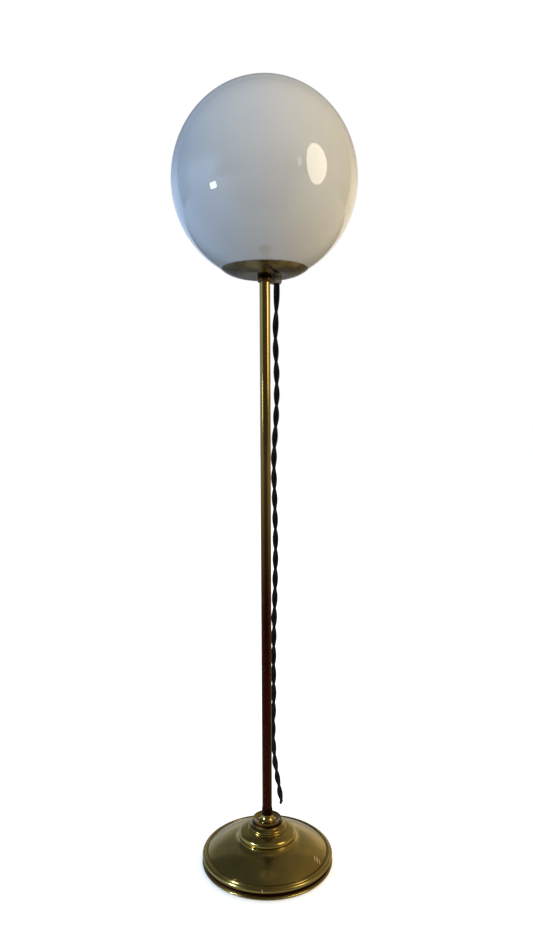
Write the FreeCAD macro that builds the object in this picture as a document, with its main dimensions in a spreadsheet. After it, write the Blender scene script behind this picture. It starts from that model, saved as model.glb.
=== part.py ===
import FreeCAD, Part
import math
import os

import Sketcher
from FreeCAD import Rotation, Vector

# Globe floor lamp, in millimetres. +Z is up, the lamp's front faces -Y, and the origin is the
# middle of the felt pad's underside, on the floor under the stem's axis.
#
# From the floor up: felt pad, cast iron ballast, spun brass base, turned collar, stem, ball
# collar, spun brass dish with the lampholder, and an opal glass globe that rests in the dish.
# A twisted flex leaves through a bush in the dish and hangs beside the stem.

# Driving sizes, one cell of the sheet each.
SIZES = {
    # felt pad and ballast
    "pad_radius": 94.0,
    "pad_thick": 2.0,
    "ballast_gap": 0.4,
    "ballast_rim_height": 11.0,
    "ballast_top_radius": 50.0,
    "hub_radius": 24.0,
    # spun base, outside: rolled edge, groove, band, step bead, dome, cove, lip, torus, ring
    "shell_wall": 1.0,
    "edge_reach": 101.4,
    "edge_bead_radius": 1.9,
    "edge_lift": 0.5,
    "groove_height": 5.9,
    "groove_bow": 3.3,
    "band_inset": 2.1,
    "band_height": 7.4,
    "band_slope": 2.3,
    "band_bow": 4.1,
    "step_width": 4.0,
    "step_bow": 2.2,
    "step_drop": 0.5,
    "dome_ledge": 1.1,
    "dome_kerb": 1.4,
    "dome_inner_radius": 52.0,
    "dome_height": 16.1,
    "dome_bow": 114.0,
    "cove_height": 4.8,
    "cove_bow": 15.6,
    "torus_foot_radius": 43.4,
    "lip_width": 1.0,
    "lip_height": 2.6,
    "lip_bow": 1.5,
    "torus_height": 10.0,
    "torus_top_radius": 38.8,
    "torus_bow": 6.6,
    "shoulder_rise": 2.1,
    "shoulder_bow": 30.0,
    "ring_radius": 29.4,
    "ring_height": 2.6,
    "ring_bow": 1.6,
    "land_inset": 1.4,
    # turned collar
    "collar_flange_radius": 28.3,
    "collar_flange_height": 3.8,
    "collar_flange_bow": 2.5,
    "collar_cove_foot": 27.0,
    "collar_cove_height": 7.0,
    "collar_cove_bow": 10.5,
    "collar_neck_radius": 21.1,
    "collar_rim_radius": 21.6,
    "collar_rim_height": 2.9,
    "collar_rim_width": 1.2,
    "collar_dish_radius": 14.4,
    "collar_dish_depth": 1.9,
    "collar_dish_bow": 12.0,
    "collar_seat_height": 7.4,
    # trumpet foot of the stem
    "foot_radius": 13.4,
    "foot_edge": 0.8,
    "foot_waist_radius": 8.5,
    "foot_waist_height": 8.2,
    "foot_bow": 10.9,
    "foot_lip_radius": 7.95,
    "foot_lip_height": 10.0,
    # stem and its threaded pieces
    "stem_radius": 7.5,
    "stem_wall": 1.0,
    "stem_length": 801.0,
    "fit_gap": 0.05,
    "thread_radius": 5.0,
    "bush_length": 20.0,
    "nut_radius": 8.1,
    "nut_height": 5.0,
    "washer_radius": 10.0,
    "washer_thick": 1.5,
    "counterbore_radius": 12.5,
    "rod_end": 1.5,
    "nipple_bore_radius": 3.6,
    "nipple_engagement": 16.0,
    # ball collar and dish
    "ball_height": 7.9,
    "ball_foot_radius": 8.4,
    "ball_top_radius": 9.0,
    "ball_bow": 4.85,
    "dish_wall": 0.6,
    "dish_flat_radius": 31.5,
    "dish_rim_radius": 59.4,
    "dish_depth": 9.5,
    # globe and its support
    "globe_radius": 125.0,
    "globe_wall": 3.0,
    "mouth_radius": 50.0,
    "rim_gap": 0.5,
    "seat_gap": 0.3,
    "gasket_inner_radius": 50.6,
    "gasket_width": 4.6,
    "spider_thick": 1.0,
    "spider_hub_radius": 11.0,
    "spider_arm_reach": 40.5,
    "spider_arm_width": 9.0,
    "spider_arm_start": 7.0,
    "clip_thick": 0.5,
    "clip_width": 7.0,
    "clip_foot_radius": 31.0,
    "clip_bend_radius": 41.0,
    "clip_grip_height": 2.4,
    "clip_end_height": 8.0,
    "clip_end_inset": 3.5,
    "rivet_radius": 1.0,
    "rivet_head_radius": 1.9,
    "rivet_head_height": 0.6,
    # cord bush, its nut and the flex
    "bush_across": 15.1,
    "bush_behind": 14.7,
    "bush_top_radius": 8.6,
    "bush_top_height": 1.5,
    "bush_groove_radius": 7.6,
    "bush_groove_height": 1.0,
    "bush_ring_radius": 8.3,
    "bush_ring_height": 2.5,
    "bush_ring_bow": 1.6,
    "bush_end_radius": 7.8,
    "bush_end_height": 1.8,
    "bush_spigot_radius": 7.0,
    "bush_spigot_height": 3.6,
    "bush_bore_offset": 1.5,
    "bush_nut_radius": 9.6,
    "bush_nut_height": 2.4,
    "flex_radius": 4.3,
    "core_radius": 1.0,
    # lampholder
    "bracket_thick": 1.2,
    "bracket_width": 12.0,
    "bracket_half_length": 15.0,
    "bracket_height": 8.6,
    "bracket_foot": 6.0,
    "bracket_nut_height": 3.0,
    "holder_radius": 22.0,
    "holder_height": 38.0,
    "holder_edge": 2.5,
    "holder_floor_thick": 8.5,
    "holder_lower_bore": 12.0,
    "holder_ledge_height": 6.0,
    "screw_shell_radius": 13.9,
    "screw_shell_wall": 0.5,
    "screw_shell_height": 21.0,
    "screw_shell_lip": 1.6,
    "contact_thick": 0.6,
    "contact_rise": 1.9,
    "contact_half_length": 9.0,
    "contact_width": 6.0,
    "holder_screw_radius": 1.5,
    "holder_screw_length": 7.0,
    "holder_screw_head_radius": 2.8,
    "holder_screw_head_height": 1.8,
    "terminal_reach": 15.0,
    "terminal_size": 5.0,
    "terminal_height": 6.0,
    "terminal_screw_radius": 1.5,
    "terminal_screw_length": 3.5,
    "terminal_screw_head_radius": 2.2,
    "terminal_screw_head_height": 1.4,
    # bulb
    "thread_gap": 0.3,
    "thread_pitch": 3.62,
    "thread_depth": 0.8,
    "bulb_tip_radius": 4.8,
    "bulb_tip_height": 1.4,
    "bulb_insulator_radius": 10.4,
    "bulb_insulator_height": 3.2,
    "cap_cone_height": 1.6,
    "cap_rim_height": 0.9,
    "cap_wall": 0.5,
    "bulb_radius": 30.0,
    "bulb_centre_height": 50.0,
    "bulb_shoulder_drop": 17.2,
    "bulb_neck_radius": 12.7,
    "bulb_neck_bow": 64.7,
    "bulb_wall": 0.8,
    "mount_plug_height": 4.0,
    "mount_post_radius": 2.6,
    "mount_height": 24.0,
    "mount_disc_radius": 10.5,
    "mount_disc_thick": 1.2,
    "filament_radius": 0.9,
    "filament_length": 32.0,
    "filament_circle": 8.6,
}

# The clips' bearings round the stem, clear of the cord bush.
CLIP_BEARINGS = (90.0, 210.0, 330.0)
FILAMENT_BEARINGS = (45.0, 135.0, 225.0, 315.0)
CAP_TURNS = 5

# Each bend of a cord takes this share of its shorter run.
ARC_SHARE = 0.45

# The flex's route from inside the dish to its free end, chosen by hand: it hangs straight down
# beside and behind the stem, and its last hand's width curls back and to the right.
FLEX_ROUTE = [
    (16.6, 14.7, 878.6),
    (16.6, 14.7, 842.0),
    (14.0, 14.9, 796.0),
    (16.5, 15.3, 742.0),
    (16.0, 15.0, 688.0),
    (11.4, 14.4, 626.0),
    (12.9, 14.6, 566.0),
    (14.3, 15.1, 505.0),
    (13.5, 15.2, 441.0),
    (11.6, 14.8, 379.0),
    (10.3, 14.4, 318.0),
    (10.8, 15.0, 258.0),
    (8.9, 17.0, 198.0),
    (12.2, 22.5, 150.0),
    (18.0, 31.0, 110.0),
    (22.8, 41.5, 72.0),
]
# The two cores, in heights above the dish's underside, from the flex's top end to the
# terminals under the holder.
LIVE_ROUTE = [
    (17.6, 16.6, 5.6),
    (17.6, 16.6, 7.4),
    (15.6, 17.6, 8.9),
    (11.0, 18.2, 9.0),
    (5.0, 17.8, 8.2),
    (1.2, 16.0, 7.3),
    (0.0, 15.0, 8.9),
    (0.0, 15.0, 10.7),
]
NEUTRAL_ROUTE = [
    (17.8, 13.0, 5.6),
    (17.8, 13.0, 7.4),
    (19.2, 10.6, 8.6),
    (19.8, 5.0, 9.2),
    (19.6, -4.5, 9.0),
    (14.0, -13.0, 8.6),
    (6.2, -16.8, 8.0),
    (1.2, -16.4, 7.2),
    (0.0, -15.0, 8.9),
    (0.0, -15.0, 10.7),
]

doc = FreeCAD.newDocument("GlobeFloorLamp")
sheet = doc.addObject("Spreadsheet::Sheet", "Sizes")
for row, (alias, number) in enumerate(SIZES.items(), start=1):
    sheet.set(f"A{row}", alias)
    sheet.set(f"B{row}", str(number))
    sheet.setAlias(f"B{row}", alias)
doc.recompute()


class Size:
    """A number together with the expression that works it out from the sheet's cells."""

    def __init__(self, number, text):
        self.number = number
        self.text = text

    def __add__(self, other):
        other = as_size(other)
        return Size(self.number + other.number, f"({self.text} + {other.text})")

    def __sub__(self, other):
        other = as_size(other)
        return Size(self.number - other.number, f"({self.text} - {other.text})")

    def __mul__(self, other):
        other = as_size(other)
        return Size(self.number * other.number, f"({self.text} * {other.text})")

    def __truediv__(self, other):
        other = as_size(other)
        return Size(self.number / other.number, f"({self.text} / {other.text})")

    def __neg__(self):
        return Size(-self.number, f"(-1 * {self.text})")


def as_size(value):
    return value if isinstance(value, Size) else Size(float(value), f"({float(value)})")


def root(value):
    return Size(math.sqrt(value.number), f"sqrt({value.text})")


class Cells:
    """The sheet's cells by name, as sizes."""

    def __getattr__(self, name):
        return Size(float(SIZES[name]), f"Sizes.{name}")


mm = Cells()


def arc_through(start, end, bow):
    """The arc from start to end, counter-clockwise if bow is positive, with bow as its radius."""
    chord = end - start
    middle = (start + end) * 0.5
    to_left = Vector(-chord.y, chord.x, 0).normalize()
    depth = math.sqrt(max(bow**2 - (chord.Length / 2) ** 2, 0.0))
    centre = middle + to_left * math.copysign(depth, bow)
    first, last = (start, end) if bow > 0 else (end, start)
    angle_first = math.atan2(first.y - centre.y, first.x - centre.x)
    angle_last = math.atan2(last.y - centre.y, last.x - centre.x)
    circle = Part.Circle(centre, Vector(0, 0, 1), abs(bow))
    return Part.ArcOfCircle(circle, angle_first, angle_last)


def pin_corner(sketch, edge, end, across, up):
    """Ties one end of a sketch's edge to its place, which the sheet gives."""
    for value, kind, axis in ((across, "DistanceX", -2), (up, "DistanceY", -1)):
        value = as_size(value)
        if value.number == 0:
            sketch.addConstraint(Sketcher.Constraint("PointOnObject", edge, end, axis))
        else:
            index = sketch.addConstraint(Sketcher.Constraint(kind, -1, 1, edge, end, value.number))
            sketch.setExpression(f"Constraints[{index}]", value.text)


def outline_sketch(body, name, plane, corners):
    """A closed outline. Each corner is (across, up), or (across, up, bow) where an arc follows."""
    sketch = body.newObject("Sketcher::SketchObject", name)
    support = next(o for o in body.Origin.OriginFeatures if o.Role == plane)
    sketch.AttachmentSupport = (support, [""])
    sketch.MapMode = "FlatFace"
    points = [Vector(as_size(c[0]).number, as_size(c[1]).number, 0) for c in corners]
    ends = []
    for index, corner in enumerate(corners):
        start, end = points[index], points[(index + 1) % len(corners)]
        if len(corner) == 2:
            sketch.addGeometry(Part.LineSegment(start, end))
            ends.append((1, 2))
        else:
            sketch.addGeometry(arc_through(start, end, corner[2].number))
            ends.append((1, 2) if corner[2].number > 0 else (2, 1))
    for index, corner in enumerate(corners):
        after = (index + 1) % len(corners)
        sketch.addConstraint(Sketcher.Constraint("Coincident", index, ends[index][1], after, ends[after][0]))
        pin_corner(sketch, index, ends[index][0], corner[0], corner[1])
        if len(corner) == 3:
            bow = corner[2] if corner[2].number > 0 else -corner[2]
            radius = sketch.addConstraint(Sketcher.Constraint("Radius", index, bow.number))
            sketch.setExpression(f"Constraints[{radius}]", bow.text)
    return sketch


def place(thing, across=None, behind=None, height=None):
    for axis, value in (("x", across), ("y", behind), ("z", height)):
        if value is not None:
            thing.setExpression(f"Placement.Base.{axis}", value.text)


def turned(label, corners, height=None, across=None, behind=None):
    """A piece turned on a lathe: the outline goes round the vertical axis."""
    body = doc.addObject("PartDesign::Body", label)
    turn = body.newObject("PartDesign::Revolution", f"{label}_turn")
    turn.Profile = outline_sketch(body, f"{label}_outline", "XZ_Plane", corners)
    turn.ReferenceAxis = (turn.Profile[0], ["V_Axis"])
    turn.Angle = 360
    place(body, across, behind, height)
    return body


def bar(label, corners, width, height=None):
    """A bent or plain strip: the outline in the XZ plane, made half the width thick each way."""
    body = doc.addObject("PartDesign::Body", label)
    pad = body.newObject("PartDesign::Pad", f"{label}_pad")
    pad.Profile = outline_sketch(body, f"{label}_outline", "XZ_Plane", corners)
    pad.SideType = "Symmetric"
    pad.setExpression("Length", width.text)
    place(body, height=height)
    return body


def drill(body, name, centres, radius, depth=None):
    """Round holes along Z: right through a body, or up from its XY plane to a depth."""
    sketch = body.newObject("Sketcher::SketchObject", f"{name}_sketch")
    support = next(o for o in body.Origin.OriginFeatures if o.Role == "XY_Plane")
    sketch.AttachmentSupport = (support, [""])
    sketch.MapMode = "FlatFace"
    for index, (across, behind) in enumerate(centres):
        middle = Vector(as_size(across).number, as_size(behind).number, 0)
        sketch.addGeometry(Part.Circle(middle, Vector(0, 0, 1), radius.number))
        pin_corner(sketch, index, 3, across, behind)
        size = sketch.addConstraint(Sketcher.Constraint("Radius", index, radius.number))
        sketch.setExpression(f"Constraints[{size}]", radius.text)
    pocket = body.newObject("PartDesign::Pocket", name)
    pocket.Profile = sketch
    if depth is None:
        pocket.Type = "ThroughAll"
        pocket.SideType = "Symmetric"
    else:
        pocket.Reversed = True
        pocket.setExpression("Length", depth.text)
    return pocket


def turn_about_axis(body, features, count):
    """Repeats features evenly round the body's Z axis."""
    pattern = body.newObject("PartDesign::PolarPattern", f"{body.Name}_pattern")
    pattern.Originals = features
    pattern.Axis = (features[0].Profile[0], ["N_Axis"])
    pattern.Angle = 360
    pattern.Occurrences = count
    body.Tip = pattern


def compass(radius, bearing):
    """A place at a radius and a bearing, in degrees from +X towards +Y."""
    angle = math.radians(bearing)
    return radius * round(math.cos(angle), 9), radius * round(math.sin(angle), 9)


def together(label, pieces):
    """Identical pieces as separate solids of one sub-part."""
    compound = doc.addObject("Part::Compound", label)
    compound.Links = pieces
    return compound


def washer(label, outer, inner, thick, height, across=None, behind=None):
    """A plain ring or tube."""
    corners = [(inner, 0), (outer, 0), (outer, thick), (inner, thick)]
    return turned(label, corners, height, across, behind)


def hex_nut(label, radius, thick, height):
    """A hexagonal nut, its thread left as a plain bore."""
    block = doc.addObject("Part::Prism", f"{label}_block")
    block.Polygon = 6
    block.setExpression("Circumradius", radius.text)
    block.setExpression("Height", thick.text)
    hole = rod(f"{label}_hole", thread_fit_radius, thick)
    nut = doc.addObject("Part::Cut", label)
    nut.Base = block
    nut.Tool = hole
    place(nut, height=height)
    return nut


def rod(label, radius, length, height=None):
    cylinder = doc.addObject("Part::Cylinder", label)
    cylinder.setExpression("Radius", radius.text)
    cylinder.setExpression("Height", length.text)
    place(cylinder, height=height)
    return cylinder


# Sizes that follow from the sheet. Heights are above the floor.
edge_centre_radius = mm.edge_reach - mm.edge_bead_radius
edge_centre_height = mm.edge_lift + mm.edge_bead_radius
groove_foot = edge_centre_height + mm.edge_bead_radius
band_foot = groove_foot + mm.groove_height
band_top = band_foot + mm.band_height
band_foot_radius = mm.edge_reach - mm.band_inset
band_top_radius = band_foot_radius - mm.band_slope
dome_foot_radius = band_top_radius - mm.step_width - mm.dome_ledge
dome_foot = band_top - mm.step_drop + mm.dome_kerb
dome_top = dome_foot + mm.dome_height
torus_foot = dome_top + mm.cove_height
lip_top = torus_foot + mm.lip_height
torus_top = lip_top + mm.torus_height
ring_foot = torus_top + mm.shoulder_rise
shell_top = ring_foot + mm.ring_height
land_radius = mm.ring_radius - mm.land_inset
shell_cavity_top = shell_top - mm.shell_wall
cavity_radius = edge_centre_radius - mm.edge_bead_radius - mm.shell_wall - mm.shell_wall

stem_seat = shell_top + mm.collar_seat_height
collar_cove_foot = shell_top + mm.collar_flange_height
collar_neck = collar_cove_foot + mm.collar_cove_height
collar_top = collar_neck + mm.collar_rim_height
collar_dish = collar_top - mm.collar_dish_depth
stem_top = stem_seat + mm.stem_length
stem_bore_radius = mm.stem_radius - mm.stem_wall
bush_fit_radius = stem_bore_radius - mm.fit_gap
thread_fit_radius = mm.thread_radius + mm.fit_gap
stem_fit_radius = mm.stem_radius + mm.fit_gap

dish_bottom = stem_top + mm.ball_height
dish_floor = dish_bottom + mm.dish_wall
dish_top = dish_bottom + mm.dish_depth
dish_run = mm.dish_rim_radius - mm.dish_flat_radius
dish_bow = (dish_run * dish_run + mm.dish_depth * mm.dish_depth) / (mm.dish_depth * 2)
dish_inner_bow = dish_bow - mm.dish_wall
dish_rise = dish_bow - mm.dish_depth
dish_inner_rim = mm.dish_flat_radius + root(dish_inner_bow * dish_inner_bow - dish_rise * dish_rise)

spider_foot = dish_floor + mm.washer_thick
spider_top = spider_foot + mm.spider_thick
bracket_foot = spider_top + mm.nut_height
nipple_top = bracket_foot + mm.bracket_thick + mm.bracket_nut_height + mm.rod_end
holder_foot = bracket_foot + mm.bracket_height
holder_cavity = holder_foot + mm.holder_floor_thick
holder_ledge = holder_cavity + mm.holder_ledge_height
bulb_foot = holder_cavity + mm.contact_rise + mm.contact_thick + mm.seat_gap
bulb_insulator_foot = bulb_foot + mm.bulb_tip_height
bulb_cap_foot = bulb_insulator_foot + mm.bulb_insulator_height
bulb_cap_height = mm.cap_cone_height + mm.thread_pitch * CAP_TURNS + mm.cap_rim_height
bulb_cap_radius = mm.screw_shell_radius - mm.screw_shell_wall - mm.thread_gap
bulb_neck_foot = bulb_cap_foot + bulb_cap_height

# The globe's centre stands where the ball of glass clears the dish's inner rim by rim_gap,
# measured straight across.
globe_seat_radius = dish_inner_rim - mm.rim_gap
globe_centre = dish_top + root(
    mm.globe_radius * mm.globe_radius - globe_seat_radius * globe_seat_radius
)


def glass_underside(radius, gap):
    """The height of the globe's outside, less a gap, at a radius near its mouth."""
    reach = mm.globe_radius + gap
    return globe_centre - root(reach * reach - radius * radius)


def dish_inside(radius, gap):
    """The height of the dish's inside, plus a gap, at a radius on its curved part."""
    bow = dish_inner_bow - gap
    run = radius - mm.dish_flat_radius
    return dish_bottom + dish_bow - root(bow * bow - run * run)


def make_base():
    pad = rod("base_pad", mm.pad_radius, mm.pad_thick)
    rim_radius = cavity_radius - mm.ballast_gap
    rim_top = mm.pad_thick + mm.ballast_rim_height
    slope_top = dome_top - mm.shell_wall * 3
    counterbore_top = mm.pad_thick + mm.rod_end + mm.nut_height + mm.washer_thick
    ballast = turned(
        "ballast",
        [
            (mm.counterbore_radius, mm.pad_thick),
            (rim_radius, mm.pad_thick),
            (rim_radius, rim_top),
            (mm.ballast_top_radius, slope_top),
            (mm.hub_radius, slope_top),
            (mm.hub_radius, shell_cavity_top),
            (thread_fit_radius, shell_cavity_top),
            (thread_fit_radius, counterbore_top),
            (mm.counterbore_radius, counterbore_top),
        ],
    )
    edge = mm.edge_bead_radius
    wall = mm.shell_wall
    step_radius = band_top_radius - mm.step_width
    step_top = band_top - mm.step_drop
    shell = turned(
        "base_shell",
        [
            (cavity_radius, mm.edge_lift),
            (edge_centre_radius, mm.edge_lift, edge),
            (mm.edge_reach, edge_centre_height, edge),
            (edge_centre_radius, groove_foot, -mm.groove_bow),
            (band_foot_radius, band_foot, mm.band_bow),
            (band_top_radius, band_top, mm.step_bow),
            (step_radius, step_top),
            (dome_foot_radius + mm.dome_ledge / 2, step_top),
            (dome_foot_radius, dome_foot, mm.dome_bow),
            (mm.dome_inner_radius, dome_top, -mm.cove_bow),
            (mm.torus_foot_radius, torus_foot),
            (mm.torus_foot_radius + mm.lip_width, torus_foot, mm.lip_bow),
            (mm.torus_foot_radius, lip_top, mm.torus_bow),
            (mm.torus_top_radius, torus_top, mm.shoulder_bow),
            (mm.ring_radius, ring_foot, mm.ring_bow),
            (land_radius, shell_top),
            (thread_fit_radius, shell_top),
            (thread_fit_radius, shell_cavity_top),
            (land_radius - wall, shell_cavity_top),
            (mm.ring_radius - wall, ring_foot - wall),
            (mm.torus_top_radius - wall, torus_top - wall),
            (mm.torus_foot_radius - wall, lip_top),
            (mm.torus_foot_radius - wall, torus_foot - wall),
            (mm.dome_inner_radius, dome_top - wall, -(mm.dome_bow - wall)),
            (dome_foot_radius - wall, step_top - wall),
            (cavity_radius, step_top - wall),
        ],
    )
    return [pad, ballast, shell]


def make_collar():
    flange = mm.collar_flange_radius
    collar = turned(
        "base_collar",
        [
            (thread_fit_radius, shell_top),
            (flange, shell_top, mm.collar_flange_bow),
            (mm.collar_cove_foot, collar_cove_foot, -mm.collar_cove_bow),
            (mm.collar_neck_radius, collar_neck),
            (mm.collar_rim_radius, collar_top - mm.foot_edge),
            (mm.collar_rim_radius, collar_top),
            (mm.collar_rim_radius - mm.collar_rim_width, collar_top, -mm.collar_dish_bow),
            (mm.collar_dish_radius, collar_dish),
            (stem_fit_radius, collar_dish),
            (stem_fit_radius, stem_seat),
            (thread_fit_radius, stem_seat),
        ],
    )
    foot_waist = collar_dish + mm.foot_edge + mm.foot_waist_height
    foot_top = foot_waist + mm.foot_lip_height
    foot = turned(
        "stem_foot",
        [
            (stem_fit_radius, collar_dish),
            (mm.foot_radius, collar_dish),
            (mm.foot_radius, collar_dish + mm.foot_edge, -mm.foot_bow),
            (mm.foot_waist_radius, foot_waist),
            (mm.foot_lip_radius, foot_top),
            (stem_fit_radius, foot_top),
        ],
    )
    return [collar, foot]


def make_stem():
    tube = washer("stem_tube", mm.stem_radius, stem_bore_radius, mm.stem_length, stem_seat)
    lower, upper = (
        washer(label, bush_fit_radius, thread_fit_radius, mm.bush_length, height)
        for label, height in (
            ("stem_lower_bush", stem_seat),
            ("stem_upper_bush", stem_top - mm.bush_length),
        )
    )
    rod_foot = mm.pad_thick + mm.rod_end / 2
    tie = rod("tie_rod", mm.thread_radius, stem_seat + mm.bush_length - rod_foot, rod_foot)
    nut_foot = mm.pad_thick + mm.rod_end
    nut = hex_nut("rod_nut", mm.nut_radius, mm.nut_height, nut_foot)
    under_hub = washer(
        "rod_washer", mm.washer_radius, thread_fit_radius, mm.washer_thick, nut_foot + mm.nut_height
    )
    nipple_foot = stem_top - mm.nipple_engagement
    nipple = washer(
        "top_nipple",
        mm.thread_radius,
        mm.nipple_bore_radius,
        nipple_top - nipple_foot,
        nipple_foot,
    )
    ball = turned(
        "ball_collar",
        [
            (thread_fit_radius, 0),
            (mm.ball_foot_radius, 0, mm.ball_bow),
            (mm.ball_top_radius, mm.ball_height),
            (thread_fit_radius, mm.ball_height),
        ],
        stem_top,
    )
    return [tube, lower, upper, tie, nut, under_hub, nipple, ball]


def make_dish():
    dish = turned(
        "dish",
        [
            (thread_fit_radius, 0),
            (mm.dish_flat_radius, 0, dish_bow),
            (mm.dish_rim_radius, mm.dish_depth),
            (dish_inner_rim, mm.dish_depth, -dish_inner_bow),
            (mm.dish_flat_radius, mm.dish_wall),
            (thread_fit_radius, mm.dish_wall),
        ],
        dish_bottom,
    )
    bush_place = (mm.bush_across, mm.bush_behind)
    drill(dish, "bush_hole", [bush_place], mm.bush_spigot_radius + mm.fit_gap)
    ring = washer(
        "dish_washer", mm.washer_radius, thread_fit_radius, mm.washer_thick, dish_floor
    )
    nut = hex_nut("dish_nut", mm.nut_radius, mm.nut_height, spider_top)
    inner = mm.gasket_inner_radius
    outer = inner + mm.gasket_width
    gasket = turned(
        "glass_gasket",
        [
            (inner, dish_inside(inner, mm.fit_gap), dish_inner_bow - mm.fit_gap),
            (outer, dish_inside(outer, mm.fit_gap)),
            (outer, glass_underside(outer, mm.seat_gap), -(mm.globe_radius + mm.seat_gap)),
            (inner, glass_underside(inner, mm.seat_gap)),
        ],
    )
    return [dish, ring, nut, gasket]


def make_clips():
    """A three-armed spider with a spring clip riveted on each arm, inside the globe's mouth."""
    rivet_reach = (mm.clip_foot_radius + mm.spider_arm_reach) / 2
    rivet_fit = mm.rivet_radius + mm.fit_gap
    spider = washer(
        "clip_spider", mm.spider_hub_radius, thread_fit_radius, mm.spider_thick, spider_foot
    )
    half = mm.spider_arm_width / 2
    arm = spider.newObject("PartDesign::Pad", "spider_arm")
    arm.Profile = outline_sketch(
        spider,
        "spider_arm_outline",
        "XY_Plane",
        [
            (mm.spider_arm_start, -half),
            (mm.spider_arm_reach, -half),
            (mm.spider_arm_reach, half),
            (mm.spider_arm_start, half),
        ],
    )
    arm.setExpression("Length", mm.spider_thick.text)
    hole = drill(spider, "spider_rivet_hole", [(rivet_reach, 0)], rivet_fit)
    turn_about_axis(spider, [arm, hole], len(CLIP_BEARINGS))
    spider.Placement.Rotation = Rotation(Vector(0, 0, 1), CLIP_BEARINGS[0])

    thick = mm.clip_thick
    grip = mm.mouth_radius - mm.seat_gap
    grip_foot = glass_underside(mm.mouth_radius, as_size(0)) - spider_top
    grip_top = grip_foot + mm.clip_grip_height
    clip_top = grip_top + mm.clip_end_height
    clip_outline = [
        (mm.clip_foot_radius, 0),
        (mm.clip_bend_radius, 0),
        (grip, grip_foot),
        (grip, grip_top),
        (grip - mm.clip_end_inset, clip_top),
        (grip - mm.clip_end_inset - thick, clip_top),
        (grip - thick, grip_top),
        (grip - thick, grip_foot + thick / 2),
        (mm.clip_bend_radius - thick / 2, thick),
        (mm.clip_foot_radius, thick),
    ]
    head = mm.rivet_head_height
    head_foot = head + mm.spider_thick + thick
    rivet_outline = [
        (0, 0),
        (mm.rivet_head_radius, 0),
        (mm.rivet_head_radius, head),
        (mm.rivet_radius, head),
        (mm.rivet_radius, head_foot),
        (mm.rivet_head_radius, head_foot),
        (mm.rivet_head_radius, head_foot + head),
        (0, head_foot + head),
    ]
    clips = []
    rivets = []
    for number, bearing in enumerate(CLIP_BEARINGS, start=1):
        clip = bar(f"globe_clip_{number}", clip_outline, mm.clip_width, spider_top)
        drill(clip, f"clip_rivet_hole_{number}", [(rivet_reach, 0)], rivet_fit)
        clip.Placement.Rotation = Rotation(Vector(0, 0, 1), bearing)
        clips.append(clip)
        across, behind = compass(rivet_reach, bearing)
        rivets.append(turned(f"rivet_{number}", rivet_outline, spider_foot - head, across, behind))
    return [spider, *clips, together("clip_rivets", rivets)]


def make_bush():
    """The cord's bush, its bore a little off its middle, and the ring that holds it."""
    ring_foot_level = mm.bush_end_height
    groove_level = ring_foot_level + mm.bush_ring_height
    top_level = groove_level + mm.bush_groove_height
    seat_level = top_level + mm.bush_top_height
    spigot_level = seat_level + mm.bush_spigot_height
    bush = turned(
        "cord_grommet",
        [
            (0, 0),
            (mm.bush_end_radius, 0),
            (mm.bush_end_radius, ring_foot_level),
            (mm.bush_ring_radius, ring_foot_level, mm.bush_ring_bow),
            (mm.bush_ring_radius, groove_level),
            (mm.bush_groove_radius, groove_level),
            (mm.bush_groove_radius, top_level),
            (mm.bush_top_radius, top_level),
            (mm.bush_top_radius, seat_level),
            (mm.bush_spigot_radius, seat_level),
            (mm.bush_spigot_radius, spigot_level),
            (0, spigot_level),
        ],
        dish_bottom - seat_level,
        mm.bush_across,
        mm.bush_behind,
    )
    drill(bush, "cord_bore", [(mm.bush_bore_offset, 0)], mm.flex_radius + mm.fit_gap)
    nut = washer(
        "grommet_nut",
        mm.bush_nut_radius,
        mm.bush_spigot_radius + mm.fit_gap,
        mm.bush_nut_height,
        dish_floor,
        mm.bush_across,
        mm.bush_behind,
    )
    return [bush, nut]


def cord_tube(label, route, radius, foot=0):
    """A round cord: straight runs joined by tangent arcs as large as the runs allow."""
    points = [Vector(across, behind, foot + height) for across, behind, height in route]
    edges = []
    radii = []
    start = points[0]
    for before, corner, after in zip(points, points[1:], points[2:]):
        into = (corner - before).normalize()
        away = (after - corner).normalize()
        half_turn = into.getAngle(away) / 2
        cut = ARC_SHARE * min((corner - before).Length, (after - corner).Length)
        arc_radius = cut / math.tan(half_turn)
        radii.append(round(arc_radius, 1))
        to_centre = (away - into).normalize()
        middle = corner + to_centre * (arc_radius / math.cos(half_turn) - arc_radius)
        arc_start = corner - into * cut
        arc_end = corner + away * cut
        edges.append(Part.LineSegment(start, arc_start).toShape())
        edges.append(Part.Arc(arc_start, middle, arc_end).toShape())
        start = arc_end
    edges.append(Part.LineSegment(start, points[-1]).toShape())
    path = Part.Wire(edges)
    section = Part.Wire(Part.makeCircle(radius.number, points[0], points[1] - points[0]))
    tube = path.makePipeShell([section], True, True)
    expected = math.pi * radius.number**2 * path.Length
    print(f"{label}: {path.Length:.1f} mm long, arc radii {radii}, volume {tube.Volume / expected:.4f}")
    feature = doc.addObject("Part::Feature", label)
    feature.Shape = tube
    return feature


def make_cords():
    return [
        cord_tube("flex", FLEX_ROUTE, mm.flex_radius),
        cord_tube("core_live", LIVE_ROUTE, mm.core_radius, dish_bottom.number),
        cord_tube("core_neutral", NEUTRAL_ROUTE, mm.core_radius, dish_bottom.number),
    ]


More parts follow.
